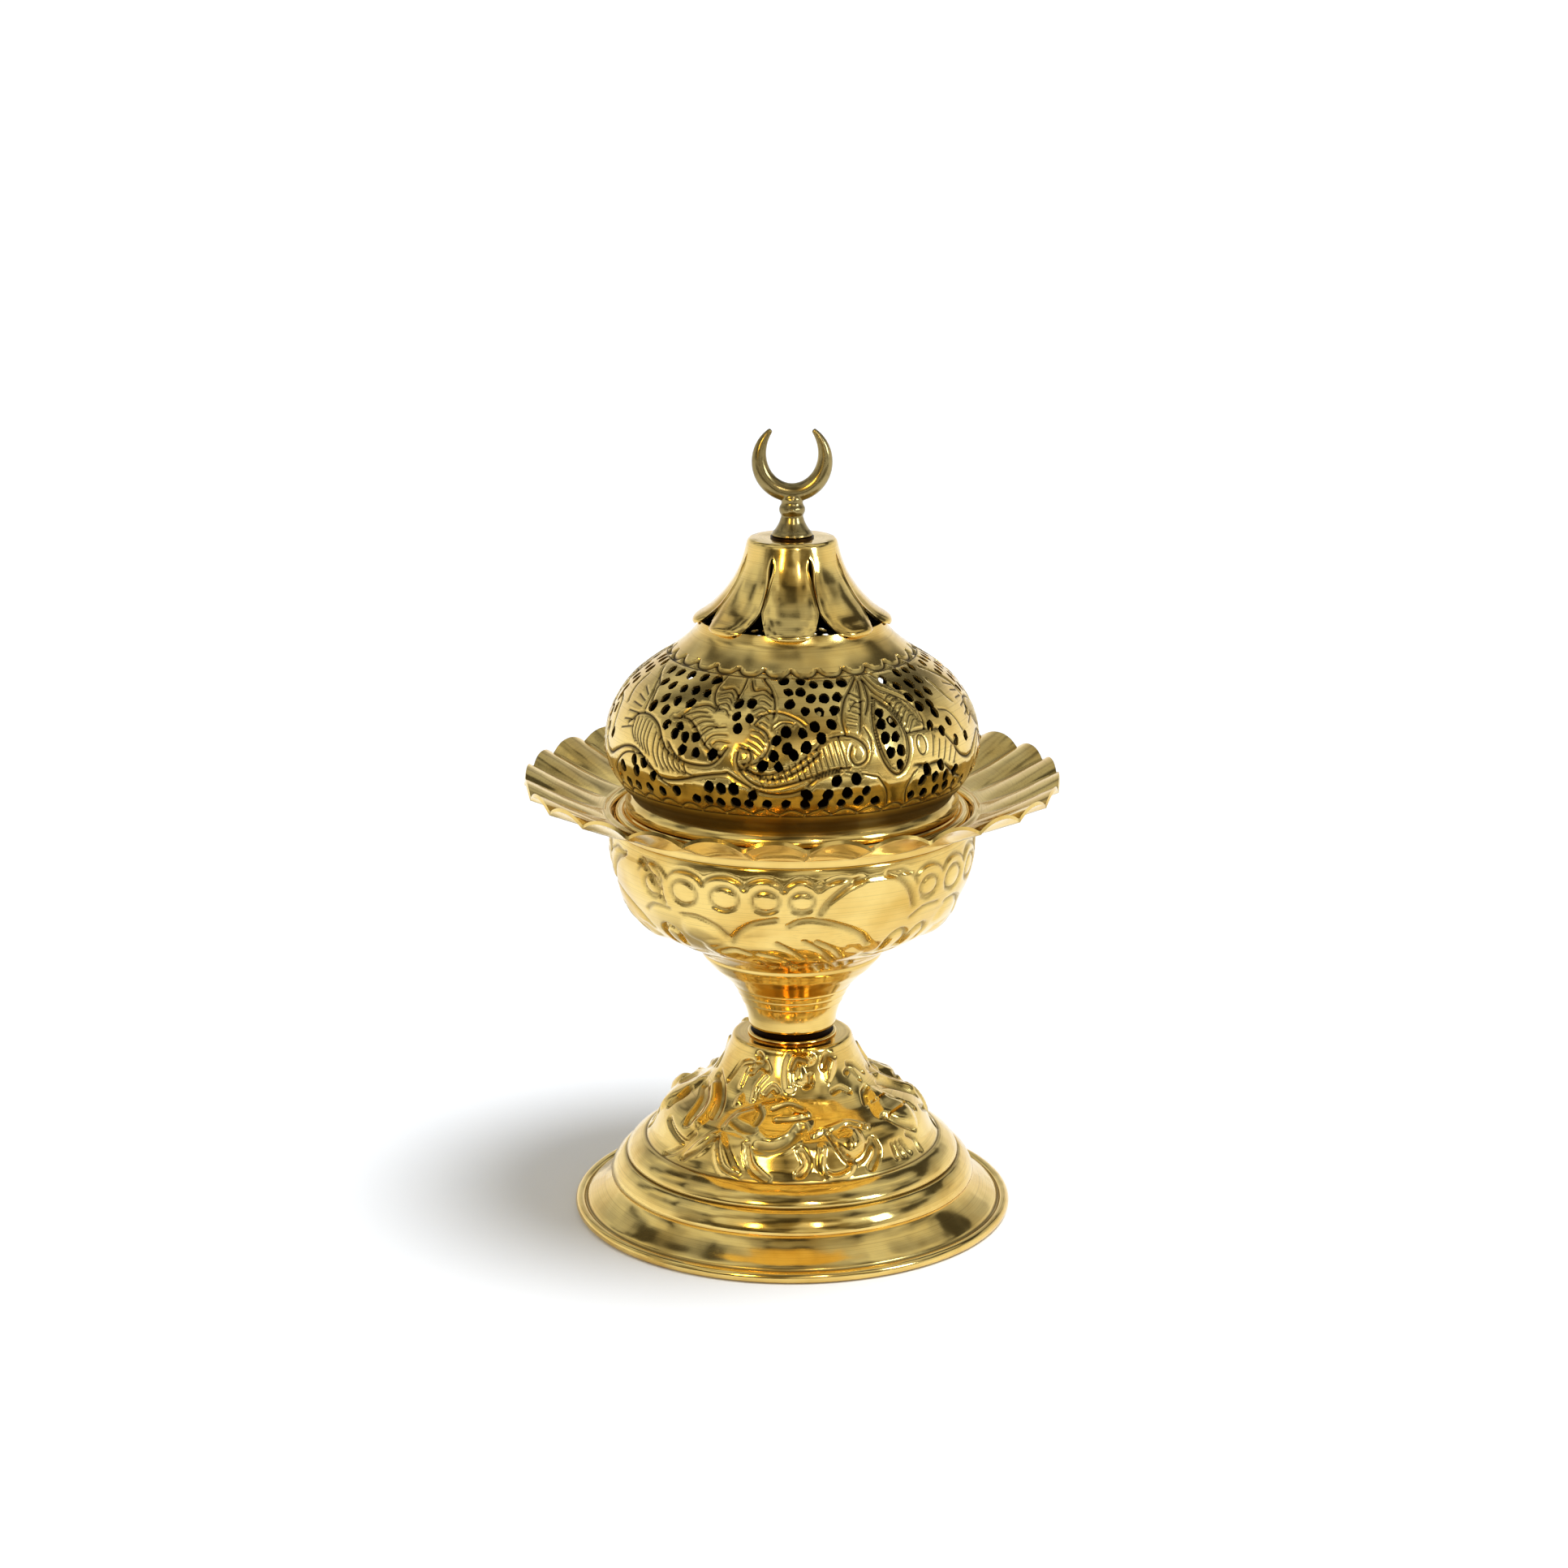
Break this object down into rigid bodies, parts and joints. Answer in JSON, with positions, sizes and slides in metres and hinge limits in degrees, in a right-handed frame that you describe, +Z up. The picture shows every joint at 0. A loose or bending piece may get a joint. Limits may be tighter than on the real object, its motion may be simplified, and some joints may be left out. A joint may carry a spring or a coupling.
{
  "type": "incense burner",
  "caption": "Footed brass table censer with a chased bowl, a loose fluted drip plate, a charcoal cup and a lift-off pierced lid with a petal cap and a crescent finial.",
  "frame": {"origin": "centre of the ring that the foot stands on, at table height", "axes": "+Z up along the common axis of all the turned pieces; the crescent's plane is XZ and its front faces -Y"},
  "size_m": [0.14, 0.14, 0.21],
  "materials": {
    "chased_brass": "polished spun brass with chased relief",
    "polished_brass": "polished spun brass",
    "pierced_brass": "polished, pierced and engraved brass",
    "cast_brass": "cast brass, satin",
    "dark_brass": "darkened brass",
    "plated_steel": "plated steel"
  },
  "bodies": {
    "stand": {"foot": "chased_brass", "neck_spacer": "dark_brass", "neck": "polished_brass", "bowl": "chased_brass", "tie_bolt": "plated_steel", "bowl_washer": "plated_steel", "foot_washer": "plated_steel", "foot_nut": "plated_steel"},
    "plate": {"plate": "polished_brass"},
    "cup": {"charcoal_cup": "polished_brass"},
    "lid": {"lid_seat_ring": "polished_brass", "lid_dome": "pierced_brass", "petal_cap": "polished_brass", "finial": "cast_brass", "finial_washer": "dark_brass", "cap_washer": "plated_steel", "finial_nut": "plated_steel"}
  },
  "joints": [
    {"name": "plate_lift", "type": "slide", "parent": "stand", "child": "plate", "axis": [0, 0, 1], "range_m": [0, 0.12]},
    {"name": "cup_lift", "type": "slide", "parent": "plate", "child": "cup", "axis": [0, 0, 1], "range_m": [0, 0.12]},
    {"name": "lid_lift", "type": "slide", "parent": "cup", "child": "lid", "axis": [0, 0, 1], "range_m": [0, 0.12]}
  ]
}
